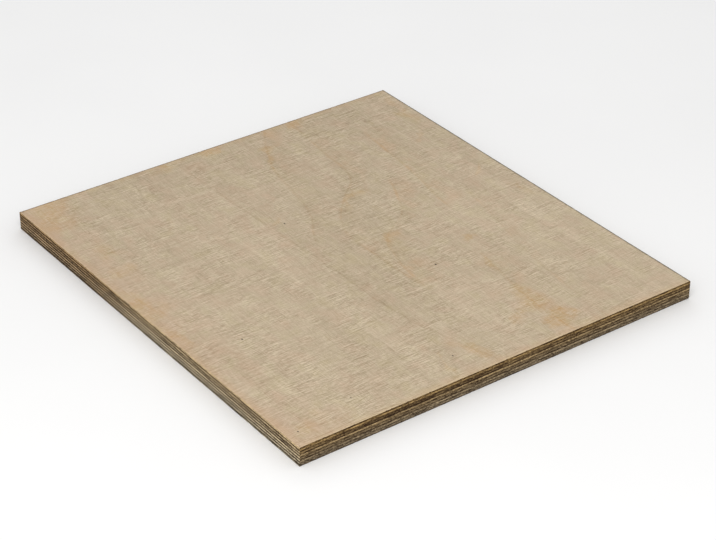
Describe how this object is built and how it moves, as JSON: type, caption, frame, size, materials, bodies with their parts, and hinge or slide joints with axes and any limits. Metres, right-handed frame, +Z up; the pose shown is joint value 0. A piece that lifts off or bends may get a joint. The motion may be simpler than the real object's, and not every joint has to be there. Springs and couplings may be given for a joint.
{
  "type": "plywood sheet",
  "caption": "Rectangular birch plywood sheet lying flat: thin cross-laminated veneers glued face to face, with the layers showing on all four sawn edges.",
  "frame": {"origin": "centre of the underside, which rests on the floor", "axes": "+X across the grain of the face veneer, +Y along it, +Z up through the thickness from the back veneer to the face veneer"},
  "size_m": [0.418, 0.45, 0.018],
  "materials": {
    "face_veneer": "sanded and unfinished, pale birch, grain along Y",
    "long_ply": "sawn edge of a veneer with its grain along Y",
    "crossband": "sawn edge of a veneer with its grain along X",
    "back_veneer": "sanded and unfinished, a little more figured than the face, grain along Y"
  },
  "bodies": {
    "root": {"face_veneer": "face_veneer", "crossband_02": "crossband", "long_ply_03": "long_ply", "crossband_04": "crossband", "long_ply_05": "long_ply", "crossband_06": "crossband", "long_ply_07": "long_ply", "crossband_08": "crossband", "long_ply_09": "long_ply", "crossband_10": "crossband", "long_ply_11": "long_ply", "crossband_12": "crossband", "back_veneer": "back_veneer"}
  },
  "joints": []
}
